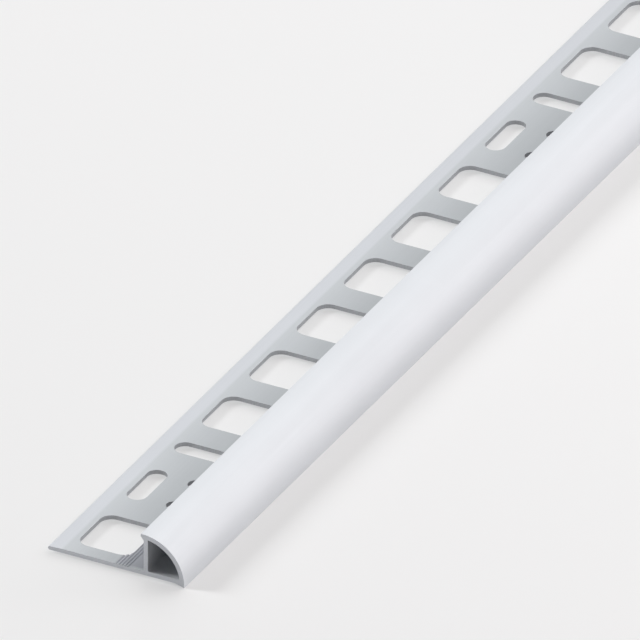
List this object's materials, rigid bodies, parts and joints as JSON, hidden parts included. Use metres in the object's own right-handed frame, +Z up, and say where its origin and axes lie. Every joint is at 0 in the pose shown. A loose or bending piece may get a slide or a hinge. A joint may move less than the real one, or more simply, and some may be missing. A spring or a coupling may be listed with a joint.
{
  "type": "tile edge trim",
  "caption": "Straight length of quarter-round tile edge trim: a hollow rounded edge with web, lip and toe on a flat leg perforated for adhesive and fixings.",
  "frame": {"origin": "under the middle of the stock's length and width, level with the tip of the toe", "axes": "+Y along the stock away from the end that the picture shows, +X from the anchoring leg towards the round, +Z up from the underside of the leg"},
  "size_m": [0.0298, 1, 0.0097],
  "materials": {
    "anodised_aluminium": "matt silver anodised"
  },
  "bodies": {
    "root": {"trim": "anodised_aluminium"}
  },
  "joints": []
}
